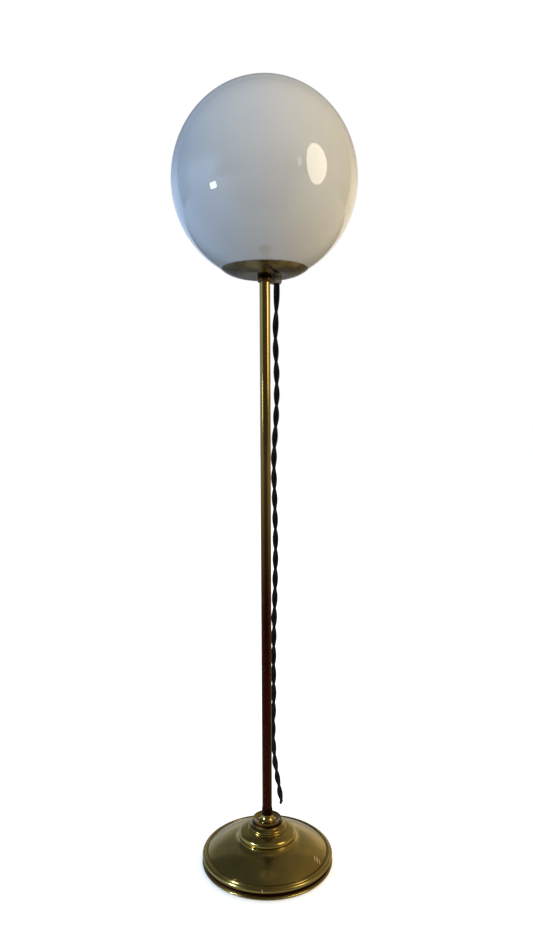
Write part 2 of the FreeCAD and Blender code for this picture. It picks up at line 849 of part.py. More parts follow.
def make_bracket():
    """The bridge between nipple and porcelain, its nut, and the two screws into the porcelain."""
    thick = mm.bracket_thick
    reach = mm.bracket_half_length
    foot_reach = reach + mm.bracket_foot
    top = mm.bracket_height
    right = [
        (reach, 0),
        (reach, top - thick),
        (foot_reach, top - thick),
        (foot_reach, top),
        (reach - thick, top),
        (reach - thick, thick),
    ]
    left = [(-across, up) for across, up in reversed(right)]
    bracket = bar("holder_bracket", right + left, mm.bracket_width, bracket_foot)
    drill(bracket, "nipple_hole", [(0, 0)], thread_fit_radius)
    screw_places = screw_centres()
    drill(bracket, "bracket_screw_holes", screw_places, mm.holder_screw_radius + mm.fit_gap)
    nut = hex_nut("bracket_nut", mm.nut_radius, mm.bracket_nut_height, bracket_foot + thick)
    head = mm.holder_screw_head_height
    screws = [
        turned(
            f"holder_screw_{number}",
            [
                (0, 0),
                (mm.holder_screw_head_radius, 0),
                (mm.holder_screw_head_radius, head),
                (mm.holder_screw_radius, head),
                (mm.holder_screw_radius, head + mm.holder_screw_length),
                (0, head + mm.holder_screw_length),
            ],
            holder_foot - thick - head,
            across,
            as_size(behind),
        )
        for number, (across, behind) in enumerate(screw_places, start=1)
    ]
    return [bracket, nut, together("holder_screws", screws)]


def screw_centres():
    reach = mm.bracket_half_length + mm.bracket_foot / 2
    return [(-reach, 0), (reach, 0)]


def make_holder():
    """The porcelain holder with its screw shell, centre contact and terminals."""
    mouth = mm.screw_shell_radius + mm.fit_gap
    edge = mm.holder_edge
    floor = mm.holder_floor_thick
    ledge = floor + mm.holder_ledge_height
    porcelain = turned(
        "holder_body",
        [
            (0, 0),
            (mm.holder_radius - edge, 0, edge),
            (mm.holder_radius, edge),
            (mm.holder_radius, mm.holder_height - edge, edge),
            (mm.holder_radius - edge, mm.holder_height),
            (mouth, mm.holder_height),
            (mouth, ledge),
            (mm.holder_lower_bore, ledge),
            (mm.holder_lower_bore, floor),
            (0, floor),
        ],
        holder_foot,
    )
    drill(
        porcelain,
        "porcelain_screw_holes",
        screw_centres(),
        mm.holder_screw_radius + mm.fit_gap,
        mm.holder_screw_length,
    )
    outer = mm.screw_shell_radius
    wall = mm.screw_shell_wall
    lip = outer - wall - mm.screw_shell_lip
    shell = turned(
        "holder_shell",
        [
            (lip, 0),
            (outer, 0),
            (outer, mm.screw_shell_height),
            (outer - wall, mm.screw_shell_height),
            (outer - wall, wall),
            (lip, wall),
        ],
        holder_ledge,
    )
    reach = mm.contact_half_length
    rise = mm.contact_rise
    thick = mm.contact_thick
    arch = [
        (reach, thick),
        (reach * 0.55, thick),
        (reach * 0.3, rise + thick),
    ]
    under = [
        (-reach * 0.25, rise),
        (-reach * 0.5, 0),
        (-reach, 0),
    ]
    mirrored_arch = [(-across, up) for across, up in reversed(arch)]
    mirrored_under = [(-across, up) for across, up in under]
    contact = bar(
        "holder_contact",
        arch + mirrored_arch + list(reversed(under)) + mirrored_under,
        mm.contact_width,
        holder_cavity,
    )
    return [porcelain, shell, contact, *make_terminals()]


def make_terminals():
    """A brass block each side under the porcelain, with a clamping screw from outside."""
    blocks = []
    screws = []
    half = mm.terminal_size / 2
    depth = mm.terminal_screw_length
    for side, sign in (("front", -1), ("back", 1)):
        cube = doc.addObject("Part::Box", f"terminal_cube_{side}")
        cube.setExpression("Length", mm.terminal_size.text)
        cube.setExpression("Width", mm.terminal_size.text)
        cube.setExpression("Height", mm.terminal_height.text)
        place(cube, -half, mm.terminal_reach * sign - half, holder_foot - mm.terminal_height)
        hole = rod(f"terminal_hole_{side}", mm.terminal_screw_radius + mm.fit_gap, depth)
        screw = turned(
            f"terminal_screw_{side}",
            [
                (0, 0),
                (mm.terminal_screw_radius, 0),
                (mm.terminal_screw_radius, depth),
                (mm.terminal_screw_head_radius, depth),
                (mm.terminal_screw_head_radius, depth + mm.terminal_screw_head_height),
                (0, depth + mm.terminal_screw_head_height),
            ],
        )
        for piece in (hole, screw):
            piece.Placement.Rotation = Rotation(Vector(1, 0, 0), -90 * sign)
            inner_end = (mm.terminal_reach + half - depth) * sign
            place(piece, behind=inner_end, height=holder_foot - mm.terminal_height / 2)
        block = doc.addObject("Part::Cut", f"terminal_{side}")
        block.Base = cube
        block.Tool = hole
        blocks.append(block)
        screws.append(screw)
    return [together("terminal_blocks", blocks), together("terminal_screws", screws)]


def make_bulb():
    """A filament bulb: centre tip, insulator, screw cap, glass, glass mount and filaments."""
    tip_radius = mm.bulb_tip_radius
    tip = turned(
        "bulb_tip",
        [
            (0, 0),
            (tip_radius / 2, 0),
            (tip_radius, mm.bulb_tip_height / 2),
            (tip_radius, mm.bulb_tip_height),
            (0, mm.bulb_tip_height),
        ],
        bulb_foot,
    )
    insulator = turned(
        "bulb_insulator",
        [
            (0, 0),
            (tip_radius + mm.bulb_wall, 0),
            (mm.bulb_insulator_radius, mm.bulb_insulator_height),
            (0, mm.bulb_insulator_height),
        ],
        bulb_insulator_foot,
    )
    swell = mm.thread_depth / 2
    quarter = mm.thread_pitch / 4
    bow = (quarter * quarter + swell * swell) / mm.thread_depth
    middle = bulb_cap_radius - swell
    inside = middle - swell - mm.cap_wall
    thread = []
    for turn in range(CAP_TURNS):
        level = mm.cap_cone_height + mm.thread_pitch * turn
        thread.append((middle, level, bow))
        thread.append((middle, level + mm.thread_pitch / 2, -bow))
    cap = turned(
        "bulb_cap",
        [
            (mm.bulb_insulator_radius - swell * 2, 0),
            (mm.bulb_insulator_radius + swell * 2, 0),
            *thread,
            (middle, bulb_cap_height - mm.cap_rim_height),
            (middle, bulb_cap_height),
            (inside, bulb_cap_height),
            (inside, mm.cap_cone_height),
        ],
        bulb_cap_foot,
    )
    wall = mm.bulb_wall
    radius = mm.bulb_radius
    centre = mm.bulb_centre_height
    drop = mm.bulb_shoulder_drop
    shoulder = root(radius * radius - drop * drop)
    inner_radius = radius - wall
    inner_shoulder = root(inner_radius * inner_radius - drop * drop)
    glass = turned(
        "bulb_glass",
        [
            (mm.bulb_neck_radius - wall, 0),
            (mm.bulb_neck_radius, 0, -mm.bulb_neck_bow),
            (shoulder, centre - drop, radius),
            (0, centre + radius),
            (0, centre + inner_radius, -inner_radius),
            (inner_shoulder, centre - drop, mm.bulb_neck_bow + wall),
        ],
        bulb_neck_foot,
    )
    plug = mm.bulb_neck_radius - wall - mm.fit_gap
    disc_top = mm.mount_height + mm.mount_disc_thick
    mount = turned(
        "bulb_mount",
        [
            (0, 0),
            (plug, 0),
            (plug, mm.mount_plug_height / 2),
            (mm.mount_post_radius * 2, mm.mount_plug_height),
            (mm.mount_post_radius, mm.mount_plug_height * 2),
            (mm.mount_post_radius, mm.mount_height),
            (mm.mount_disc_radius, mm.mount_height),
            (mm.mount_disc_radius, disc_top),
            (0, disc_top),
        ],
        bulb_neck_foot,
    )
    filaments = []
    for number, bearing in enumerate(FILAMENT_BEARINGS, start=1):
        filament = rod(
            f"filament_{number}",
            mm.filament_radius,
            mm.filament_length,
            bulb_neck_foot + disc_top,
        )
        place(filament, *compass(mm.filament_circle, bearing))
        filaments.append(filament)
    return [tip, insulator, cap, glass, mount, together("bulb_filaments", filaments)]


def make_globe():
    """An opal glass ball with a plain round mouth below."""
    outer = mm.globe_radius
    inner = outer - mm.globe_wall
    mouth = mm.mouth_radius
    top = globe_centre + outer
    return [
        turned(
            "globe",
            [
                (mouth, globe_centre - root(outer * outer - mouth * mouth), outer),
                (0, top),
                (0, top - mm.globe_wall, -inner),
                (mouth, globe_centre - root(inner * inner - mouth * mouth)),
            ],
        )
    ]


def write_parts(subparts):
    """Stops on any failed object or shape, then writes each sub-part under its label."""
    doc.recompute()
    failed = [o.Name for o in doc.Objects if {"Invalid", "Error"} & set(o.State)]
    if failed:
        raise RuntimeError(f"objects that failed: {failed}")
    for cut in doc.findObjects("PartDesign::Pocket"):
        if cut.Shape.Volume >= cut.BaseFeature.Shape.Volume:
            raise RuntimeError(f"{cut.Name} cuts nothing")
    for part in subparts:
        shape = part.Shape
        if shape.isNull() or not shape.isValid() or not shape.Solids:
            raise RuntimeError(f"{part.Label} has no valid solid")
    os.makedirs("parts", exist_ok=True)
    for part in subparts:
        part.Shape.exportStep(f"parts/{part.Label}.step")
        box = part.Shape.BoundBox
        print(
            f"{part.Label}: {len(part.Shape.Solids)} solid(s), {part.Shape.Volume / 1000:.2f} cm3,"
            f" z {box.ZMin:.2f} to {box.ZMax:.2f}, x {box.XMin:.1f} to {box.XMax:.1f}"
        )


write_parts(
    make_base()
    + make_collar()
    + make_stem()
    + make_dish()
    + make_clips()
    + make_bush()
    + make_cords()
    + make_bracket()
    + make_holder()
    + make_bulb()
    + make_globe()
)
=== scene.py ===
import math

import bmesh
import bpy
from mathutils import Matrix, Vector


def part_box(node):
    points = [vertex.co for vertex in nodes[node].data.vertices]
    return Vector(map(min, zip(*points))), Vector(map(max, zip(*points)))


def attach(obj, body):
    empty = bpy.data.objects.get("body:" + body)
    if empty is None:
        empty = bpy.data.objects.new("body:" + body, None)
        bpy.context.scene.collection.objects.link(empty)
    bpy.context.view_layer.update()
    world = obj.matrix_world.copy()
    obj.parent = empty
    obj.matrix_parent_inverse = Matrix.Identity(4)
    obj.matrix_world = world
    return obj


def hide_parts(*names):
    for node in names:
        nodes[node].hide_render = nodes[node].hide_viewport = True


# Globe floor lamp, in metres, in the CAD model's frame: +Z up, the front faces -Y, the origin
# on the floor under the stem. The CAD pieces keep their shapes and places, and every surface
# gets its finish here. The flex, one round tube in the CAD model, becomes two twisted strands.

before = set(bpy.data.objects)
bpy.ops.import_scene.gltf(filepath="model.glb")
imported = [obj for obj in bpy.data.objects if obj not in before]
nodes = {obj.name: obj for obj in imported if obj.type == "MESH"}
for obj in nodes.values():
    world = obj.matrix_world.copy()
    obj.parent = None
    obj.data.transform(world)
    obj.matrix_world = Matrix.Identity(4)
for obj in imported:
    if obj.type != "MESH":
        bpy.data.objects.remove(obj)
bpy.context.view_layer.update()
GLOBE_LOW, GLOBE_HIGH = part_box("globe")
GLOBE_CENTRE = Vector((0, 0, GLOBE_HIGH.z - (GLOBE_HIGH.x - GLOBE_LOW.x) / 2))


# ---------------------------------------------------------------- node graphs

ANGLE_SHARE = 0.004


class Graph:
    """A node tree with short calls for the kinds of node used here."""

    def __init__(self, tree, coordinates):
        self.tree = tree
        self.tree.nodes.clear()
        self.place = self.tree.nodes.new("ShaderNodeTexCoord").outputs[coordinates]
        split = self.tree.nodes.new("ShaderNodeSeparateXYZ")
        self.tree.links.new(self.place, split.inputs[0])
        self.x, self.y, self.z = split.outputs

    def feed(self, value, socket):
        if isinstance(value, bpy.types.NodeSocket):
            self.tree.links.new(value, socket)
        else:
            socket.default_value = value

    def math(self, operation, a, b=0.0, clamp=False):
        node = self.tree.nodes.new("ShaderNodeMath")
        node.operation = operation
        node.use_clamp = clamp
        self.feed(a, node.inputs[0])
        self.feed(b, node.inputs[1])
        return node.outputs[0]

    def vector(self, x, y, z):
        node = self.tree.nodes.new("ShaderNodeCombineXYZ")
        for value, socket in zip((x, y, z), node.inputs):
            self.feed(value, socket)
        return node.outputs[0]

    def stretch(self, where, scale, turn=(0, 0, 0)):
        """Coordinates turned first and then scaled, so that a pattern can run any way."""
        turned = self.tree.nodes.new("ShaderNodeMapping")
        self.feed(where, turned.inputs["Vector"])
        turned.inputs["Rotation"].default_value = turn
        scaled = self.tree.nodes.new("ShaderNodeMapping")
        self.tree.links.new(turned.outputs[0], scaled.inputs["Vector"])
        scaled.inputs["Scale"].default_value = scale
        return scaled.outputs[0]

    def noise(self, where, scale, detail=4.0, roughness=0.55, distortion=0.0):
        node = self.tree.nodes.new("ShaderNodeTexNoise")
        self.feed(where, node.inputs["Vector"])
        node.inputs["Scale"].default_value = scale
        node.inputs["Detail"].default_value = detail
        node.inputs["Roughness"].default_value = roughness
        node.inputs["Distortion"].default_value = distortion
        return node.outputs[0]

    def ramp(self, value, low, high, out_low=0.0, out_high=1.0):
        node = self.tree.nodes.new("ShaderNodeMapRange")
        node.interpolation_type = "SMOOTHSTEP"
        limits = {"From Min": low, "From Max": high, "To Min": out_low, "To Max": out_high}
        for key, number in limits.items():
            node.inputs[key].default_value = number
        self.feed(value, node.inputs["Value"])
        return node.outputs["Result"]

    def mix(self, share, a, b):
        node = self.tree.nodes.new("ShaderNodeMix")
        node.data_type = "RGBA"
        self.feed(share, node.inputs["Factor"])
        for colour, name in ((a, "A"), (b, "B")):
            solid = colour if isinstance(colour, bpy.types.NodeSocket) else (*colour, 1)
            self.feed(solid, node.inputs[name])
        return node.outputs["Result"]

    def blend(self, share, a, b):
        """The number a, turning into b as share goes from 0 to 1."""
        rest = self.math("SUBTRACT", 1.0, share)
        return self.math("ADD", self.math("MULTIPLY", a, rest), self.math("MULTIPLY", b, share))

    def background_seen(self):
        """1 for the rays by which the camera, metal and glass see what lies behind the lamp."""
        path = self.tree.nodes.new("ShaderNodeLightPath")
        rays = path.outputs
        direct = self.math("MAXIMUM", rays["Is Camera Ray"], rays["Is Glossy Ray"])
        return self.math("MAXIMUM", direct, rays["Is Transmission Ray"])


class Surface(Graph):
    """A material made of one Principled shader."""

    def __init__(self, name):
        self.material = bpy.data.materials.new(name)
        self.material.use_nodes = True
        super().__init__(self.material.node_tree, "Object")
        output = self.tree.nodes.new("ShaderNodeOutputMaterial")
        self.shader = self.tree.nodes.new("ShaderNodeBsdfPrincipled")
        self.tree.links.new(self.shader.outputs["BSDF"], output.inputs["Surface"])

    def bump(self, height, strength, distance):
        node = self.tree.nodes.new("ShaderNodeBump")
        node.inputs["Strength"].default_value = strength
        node.inputs["Distance"].default_value = distance
        self.feed(height, node.inputs["Height"])
        self.feed(node.outputs["Normal"], self.shader.inputs["Normal"])

    def around(self):
        """Coordinates that follow a turned piece: radius, a little of the angle, and height.

        The lines of the lathe vary slowly round the piece, so its angle counts for little.
        """
        length = self.tree.nodes.new("ShaderNodeVectorMath")
        length.operation = "LENGTH"
        self.feed(self.vector(self.x, self.y, 0.0), length.inputs[0])
        angle = self.math("ARCTAN2", self.y, self.x)
        turned = self.math("MULTIPLY", angle, ANGLE_SHARE)
        return self.vector(length.outputs["Value"], turned, self.z)

    def scratches(self, turns, scale=(900, 14, 900), low=0.64, high=0.70):
        """Thin straight marks in a few directions, from strongly stretched noise."""
        total = 0.0
        for number, turn in enumerate(turns):
            where = self.stretch(self.place, scale, turn)
            line = self.ramp(self.noise(where, 1.0, 2.0, 0.4, 0.3 * number), low, high)
            total = self.math("MAXIMUM", total, line)
        return total

    def inside(self, place, size):
        """1 inside an ellipsoid with these half sizes, falling to 0 round it."""
        offset = self.tree.nodes.new("ShaderNodeVectorMath")
        offset.operation = "SUBTRACT"
        self.feed(self.place, offset.inputs[0])
        offset.inputs[1].default_value = place
        measured = self.tree.nodes.new("ShaderNodeVectorMath")
        measured.operation = "DIVIDE"
        self.feed(offset.outputs[0], measured.inputs[0])
        measured.inputs[1].default_value = size
        length = self.tree.nodes.new("ShaderNodeVectorMath")
        length.operation = "LENGTH"
        self.feed(measured.outputs[0], length.inputs[0])
        return self.ramp(length.outputs["Value"], 0.5, 1.1, 1.0, 0.0)

    def set(self, **values):
        """Sockets by name, with spaces written as underscores."""
        for key, value in values.items():
            self.feed(value, self.shader.inputs[key.replace("_", " ")])


# ---------------------------------------------------------------- camera, floor and light

FOCAL_PIXELS = 720.0
PHOTO_HEIGHT_PIXELS = 934.0
PRINCIPAL_DROP_PIXELS = 69.0
SENSOR = 36.0
PITCH_DOWN = math.radians(9.25)
ROLL = math.radians(-0.25)
CAMERA_PLACE = Vector((0.0008, -1.0325, 0.6805))

FLOOR_SIZE = 12.0

# The room's light on matt surfaces: cool and weaker at the left, warm and stronger at the
# right, strongest round the horizon and behind the lamp.
COOL_LIGHT = (0.50, 0.77, 1.15)
WARM_LIGHT = (1.50, 1.25, 0.84)
LIGHT_HORIZON_TOP = (1.80, 1.15)
LIGHT_BEHIND = 1.5

# How bright the room looks in polished surfaces: dark in front, pale at the sides, dim in the
# corners behind and pale again behind the lamp. Overhead is dim, less so to the right and back.
MIRRORED_FRONT = 0.10
SIDE_LEFT_RIGHT = (0.82, 0.62)
MIRRORED_CORNER = 0.40
BACKDROP_LEFT_RIGHT = (0.38, 0.58)
OVERHEAD_LEFT_RIGHT = (0.10, 0.34)
OVERHEAD_BEHIND = 0.14
COOL_MIRRORED = (0.76, 0.97, 1.36)
WARM_MIRRORED = (1.0, 0.86, 0.62)

# Where one level turns into the next, each as (from, to) along an axis of the unit sphere of
# directions: X to the right, Y to the back, Z up.
COOL_TO_WARM_X = (-0.75, 0.75)
LIGHT_TURN_Z = (0.0, 0.8)
LIGHT_TURN_Y = (0.0, 0.8)
SIDES_TURN_X = (-0.5, 0.5)
FRONT_TO_SIDE_Y = (-0.72, -0.36)
SIDE_TO_CORNER_Y = (-0.02, 0.34)
BACKDROP_TURN_X = (-0.3, 0.3)
BACKDROP_EDGE_Y = (0.60, 0.62)
OVERHEAD_TURN_X = (-0.3, 0.8)
WALL_TO_OVERHEAD_Z = (0.14, 0.46)

# Bright windows that show in polished surfaces, each with the radiance of its pane and, where
# its light is narrow, the spread in degrees.
BASE_CENTRE = Vector((0, 0, 0.03))
WINDOWS = {
    "window_right": dict(
        place=(1.33, -0.72, 1.23),
        size=(0.74, 1.0),
        radiance=3.0,
        colour=(1.0, 0.90, 0.70),
        shape="ELLIPSE",
    ),
    "window_left": dict(
        place=(-1.32, -0.70, 0.74), size=(0.23, 0.15), radiance=7, colour=(0.85, 0.97, 1.0)
    ),
    "window_far": dict(
        place=(0.96, -1.16, 1.19), size=(0.13, 0.24), radiance=1.3, colour=(0.74, 0.84, 1.0)
    ),
    "base_left": dict(
        place=(-0.9, -0.58, 0.50),
        size=(0.08, 0.08),
        radiance=16,
        colour=(0.52, 0.72, 1.0),
        shape="ELLIPSE",
        aim=BASE_CENTRE,
        spread=24,
    ),
}

# The floor is pale to the camera, and darker in gloss and in the light that it returns.
# In gloss it takes the room's levels further out: dark in front and behind, pale at the sides.
FLOOR_ALBEDO = 0.72
FLOOR_GLOW = 0.30
FLOOR_REACH = (0.2, 1.6)
FLOOR_GLOSS_NEAR = 0.42
FLOOR_GLOSS_FRONT_SIDE = (0.13, 0.56)
FLOOR_ASIDE = (0.4, 0.9)
FLOOR_COOL_TO_WARM_X = (-0.8, 0.8)
FLOOR_RETURN = 0.42


def make_camera():
    """A camera at the photograph's place. Its axis meets the picture below the middle."""
    data = bpy.data.cameras.new("camera")
    data.sensor_width = SENSOR
    data.lens = FOCAL_PIXELS * SENSOR / PHOTO_HEIGHT_PIXELS
    data.shift_y = PRINCIPAL_DROP_PIXELS / PHOTO_HEIGHT_PIXELS
    camera = bpy.data.objects.new("camera", data)
    bpy.context.scene.collection.objects.link(camera)
    tilt = Matrix.Rotation(math.pi / 2 - PITCH_DOWN, 4, "X")
    roll = Matrix.Rotation(ROLL, 4, "Z")
    camera.matrix_world = Matrix.Translation(CAMERA_PLACE) @ tilt @ roll
    bpy.context.scene.camera = camera


def room_light(g):
    """The strength of the room's light on matt surfaces."""
    light = g.ramp(g.z, *LIGHT_TURN_Z, *LIGHT_HORIZON_TOP)
    return g.math("MULTIPLY", light, g.ramp(g.y, *LIGHT_TURN_Y, 1.0, LIGHT_BEHIND))


def room_mirrored(g):
    """How bright the room looks in polished surfaces."""
    side = g.ramp(g.x, *SIDES_TURN_X, *SIDE_LEFT_RIGHT)
    mirrored = g.blend(g.ramp(g.y, *FRONT_TO_SIDE_Y), MIRRORED_FRONT, side)
    mirrored = g.blend(g.ramp(g.y, *SIDE_TO_CORNER_Y), mirrored, MIRRORED_CORNER)
    backdrop = g.ramp(g.x, *BACKDROP_TURN_X, *BACKDROP_LEFT_RIGHT)
    behind = g.ramp(g.y, *BACKDROP_EDGE_Y)
    overhead = g.ramp(g.x, *OVERHEAD_TURN_X, *OVERHEAD_LEFT_RIGHT)
    overhead = g.math("ADD", overhead, g.math("MULTIPLY", behind, OVERHEAD_BEHIND))
    mirrored = g.math("ADD", mirrored, g.math("MULTIPLY", behind, backdrop))
    return g.blend(g.ramp(g.z, *WALL_TO_OVERHEAD_Z), mirrored, overhead)


def make_world():
    """The room's light and its mirror image, and plain white behind the lamp for the camera."""
    world = bpy.data.worlds.new("studio")
    bpy.context.scene.world = world
    world.use_nodes = True
    g = Graph(world.node_tree, "Generated")
    rays = g.tree.nodes.new("ShaderNodeLightPath").outputs
    glossy_ray = rays["Is Glossy Ray"]
    cool = g.mix(glossy_ray, COOL_LIGHT, COOL_MIRRORED)
    warm = g.mix(glossy_ray, WARM_LIGHT, WARM_MIRRORED)
    strength = g.blend(glossy_ray, room_light(g), room_mirrored(g))
    room = g.tree.nodes.new("ShaderNodeBackground")
    g.feed(g.mix(g.ramp(g.x, *COOL_TO_WARM_X), cool, warm), room.inputs["Color"])
    g.feed(strength, room.inputs["Strength"])
    white = g.tree.nodes.new("ShaderNodeBackground")
    white.inputs["Color"].default_value = (1, 1, 1, 1)
    both = g.tree.nodes.new("ShaderNodeMixShader")
    direct = g.math("MAXIMUM", rays["Is Camera Ray"], rays["Is Transmission Ray"])
    g.feed(direct, both.inputs["Fac"])
    g.feed(room.outputs[0], both.inputs[1])
    g.feed(white.outputs[0], both.inputs[2])
    output = g.tree.nodes.new("ShaderNodeOutputWorld")
    g.feed(both.outputs[0], output.inputs["Surface"])


def make_window(
    name, place, size, radiance, colour, shape="RECTANGLE", aim=GLOBE_CENTRE, spread=180
):
    """A bright window that shows in polished surfaces; the world gives the light on the rest."""
    data = bpy.data.lights.new(name, "AREA")
    data.shape = shape
    data.size, data.size_y = size
    data.energy = radiance * math.pi * size[0] * size[1]
    data.color = colour
    data.spread = math.radians(spread)
    light = bpy.data.objects.new(name, data)
    bpy.context.scene.collection.objects.link(light)
    light.location = place
    light.rotation_euler = (aim - Vector(place)).to_track_quat("-Z", "Y").to_euler()
    light.visible_diffuse = False


def light_stage():
    make_world()
    bpy.context.scene.view_settings.view_transform = "Standard"
    for name, window in WINDOWS.items():
        make_window(name, **window)


make_camera()
light_stage()


# ---------------------------------------------------------------- materials

SCRATCH_TURNS = ((0.3, 0.2, 0.5), (0.9, -0.6, -0.8), (-0.5, 1.1, 1.9))
BROWN_OXIDE = (0.055, 0.035, 0.020)
# Painted shade for the base's hollows: a near-black red brown.
PAINTED_HOLLOW_SHADE = (0.018, 0.004, 0.002)
# Bright brass for a real scrape and for painted highlights.
SCRAPE_AND_GLINT_BRASS = (0.85, 0.68, 0.36)
DULL_ROUGHNESS = 0.55


def brass(
    name, bright, dull, shine=0.24, grain=1.0, spun=True, painted_reflection=None, shaded_hollows=(), nicks_and_glints=()
):
    """Old polished brass: mottled tarnish, spots, scratches and fine turning lines.

    shine is its roughness, give or take the mottling, and grain scales its marks.
    Darkening towards the floor is given as (height where it starts, height where it is full,
    colour) for a piece whose colour turns darker downwards: a painted reflection of a dark
    floor.
    Hollows are given as (low, high, softness) of heights darkened as painted shade and made
    rougher. Bright marks are given as (place, size): real scrapes and painted highlights alike.
    """
    g = Surface(name)
    cloud = g.noise(g.place, 34, 7, 0.55, 0.4)
    fine = g.noise(g.place, 420, 5, 0.55)
    spots = g.ramp(g.noise(g.place, 900, 3, 0.5), 0.68, 0.76)
    marks = g.scratches(SCRATCH_TURNS)
    colour = g.mix(g.ramp(cloud, 0.30, 0.70), bright, dull)
    # Painted reflection of a dark floor: the colour darkens towards the bottom.
    if painted_reflection is not None:
        start, full, low_colour = painted_reflection
        wander = g.math("ADD", g.z, g.math("MULTIPLY", g.math("SUBTRACT", cloud, 0.5), 0.08))
        colour = g.mix(g.ramp(wander, full, start, 1.0, 0.0), colour, low_colour)
    stained = g.math("MULTIPLY", g.math("MAXIMUM", spots, g.ramp(fine, 0.5, 0.9)), 0.30 * grain)
    colour = g.mix(stained, colour, BROWN_OXIDE)
    colour = g.mix(g.math("MULTIPLY", marks, 0.22 * grain), colour, bright)
    rough = g.ramp(cloud, 0.3, 0.7, shine * 0.8, shine * 1.25)
    rough = g.math("ADD", rough, g.math("MULTIPLY", marks, 0.08 * grain), clamp=True)
    # Painted shade in the hollows, which are also made rougher.
    for low, high, soft in shaded_hollows:
        above = g.ramp(g.z, low - soft, low + soft)
        below = g.ramp(g.z, high - soft, high + soft, 1.0, 0.0)
        hollow_shade_mask = g.math("MULTIPLY", above, below)
        colour = g.mix(hollow_shade_mask, colour, PAINTED_HOLLOW_SHADE)
        rough = g.blend(hollow_shade_mask, rough, DULL_ROUGHNESS)
    # Bright marks: real scrapes, and painted highlights.
    for place, size in nicks_and_glints:
        scrape_and_glint = g.inside(place, size)
        colour = g.mix(scrape_and_glint, colour, SCRAPE_AND_GLINT_BRASS)
        rough = g.blend(scrape_and_glint, rough, DULL_ROUGHNESS)
    height = g.math("ADD", g.math("MULTIPLY", fine, 0.25), g.math("MULTIPLY", marks, -0.5))
    if spun:
        lines = g.noise(g.around(), 2600, 3, 0.6)
        height = g.math("ADD", height, g.math("MULTIPLY", lines, 0.6))
    g.bump(height, 0.14 * grain, 0.0001)
    g.set(Base_Color=colour, Metallic=1.0, Roughness=rough)
    return g.material


def steel(name, colour, shine=0.3):
    """Plated steel with a slightly cloudy passivated film."""
    g = Surface(name)
    cloud = g.noise(g.place, 160, 5, 0.6)
    fine = g.noise(g.place, 1600, 3, 0.5)
    tinted = tuple(channel * 0.72 for channel in colour)
    g.set(
        Base_Color=g.mix(g.ramp(cloud, 0.35, 0.7), colour, tinted),
        Metallic=1.0,
        Roughness=g.ramp(fine, 0.2, 0.8, shine * 0.8, shine * 1.4),
    )
    g.bump(fine, 0.15, 0.0001)
    return g.material


def opal_glass():
    """Glossy opal glass: a milky body under clear glass, with faint waves, scuffs and dust."""
    g = Surface("opal_glass")
    broad = g.noise(g.place, 9, 2, 0.5)
    dust = g.ramp(g.noise(g.place, 700, 2, 0.5), 0.74, 0.80)
    scuffs = g.scratches(SCRATCH_TURNS, (500, 9, 500), 0.67, 0.74)
    milk = g.mix(g.ramp(broad, 0.3, 0.7), (0.45, 0.453, 0.456), (0.475, 0.475, 0.472))
    marked = g.math("ADD", g.math("MULTIPLY", scuffs, 0.10), g.math("MULTIPLY", dust, 0.12))
    g.set(
        Base_Color=g.mix(marked, milk, (0.72, 0.71, 0.68)),
        Roughness=g.math("ADD", g.math("MULTIPLY", marked, 0.8), 0.045),
        IOR=1.5,
        Coat_Weight=1.0,
        Coat_Roughness=0.02,
        Coat_IOR=1.64,
        Subsurface_Weight=0.15,
        Subsurface_Radius=(0.02, 0.02, 0.02),
        Subsurface_Scale=0.3,
    )
    g.bump(broad, 0.10, 0.004)
    return g.material


def clear_glass(name, tint=(1.0, 1.0, 1.0)):
    g = Surface(name)
    smudge = g.noise(g.place, 60, 4, 0.6)
    g.set(
        Base_Color=(*tint, 1),
        Transmission_Weight=1.0,
        Roughness=g.ramp(smudge, 0.45, 0.8, 0.0, 0.06),
        IOR=1.45,
    )
    return g.material


def glossy(name, colour, other, roughness, scale=80.0, coat=0.0):
    """A smooth moulded or glazed surface with slight unevenness in its colour."""
    g = Surface(name)
    cloud = g.noise(g.place, scale, 6, 0.6)
    fine = g.noise(g.place, scale * 20, 2, 0.5)
    g.set(
        Base_Color=g.mix(g.ramp(cloud, 0.3, 0.7), colour, other),
        Roughness=g.ramp(fine, 0.3, 0.7, roughness * 0.8, roughness * 1.25),
        Coat_Weight=coat,
        Coat_Roughness=0.05,
    )
    g.bump(fine, 0.12, 0.0001)
    return g.material


def bush_plastic_painted_shade():
    """Translucent grey moulded plastic, its colour darkened as painted shade under the dish."""
    g = Surface("bush_plastic_painted_shade")
    cloud = g.noise(g.place, 240, 5, 0.6)
    g.set(
        Base_Color=g.mix(g.ramp(cloud, 0.3, 0.7), (0.12, 0.10, 0.08), (0.22, 0.19, 0.16)),
        Roughness=g.ramp(cloud, 0.2, 0.8, 0.25, 0.42),
        Subsurface_Weight=0.2,
        Subsurface_Radius=(0.004, 0.004, 0.004),
        Subsurface_Scale=1.0,
    )
    g.bump(cloud, 0.12, 0.0002)
    return g.material


def felt(name, colour):
    """Pressed wool felt: short fibres in every direction."""
    g = Surface(name)
    fibres = g.noise(g.stretch(g.place, (1, 1, 3)), 1500, 8, 0.75, 1.2)
    cloud = g.noise(g.place, 90, 4, 0.6)
    lighter = tuple(min(1.0, channel * 2.2 + 0.02) for channel in colour)
    g.set(
        Base_Color=g.mix(g.ramp(fibres, 0.4, 0.75), colour, lighter),
        Roughness=0.95,
        Sheen_Weight=0.5,
        Sheen_Roughness=0.5,
    )
    height = g.math("ADD", fibres, g.math("MULTIPLY", cloud, 0.4))
    g.bump(height, 0.6, 0.0005)
    return g.material


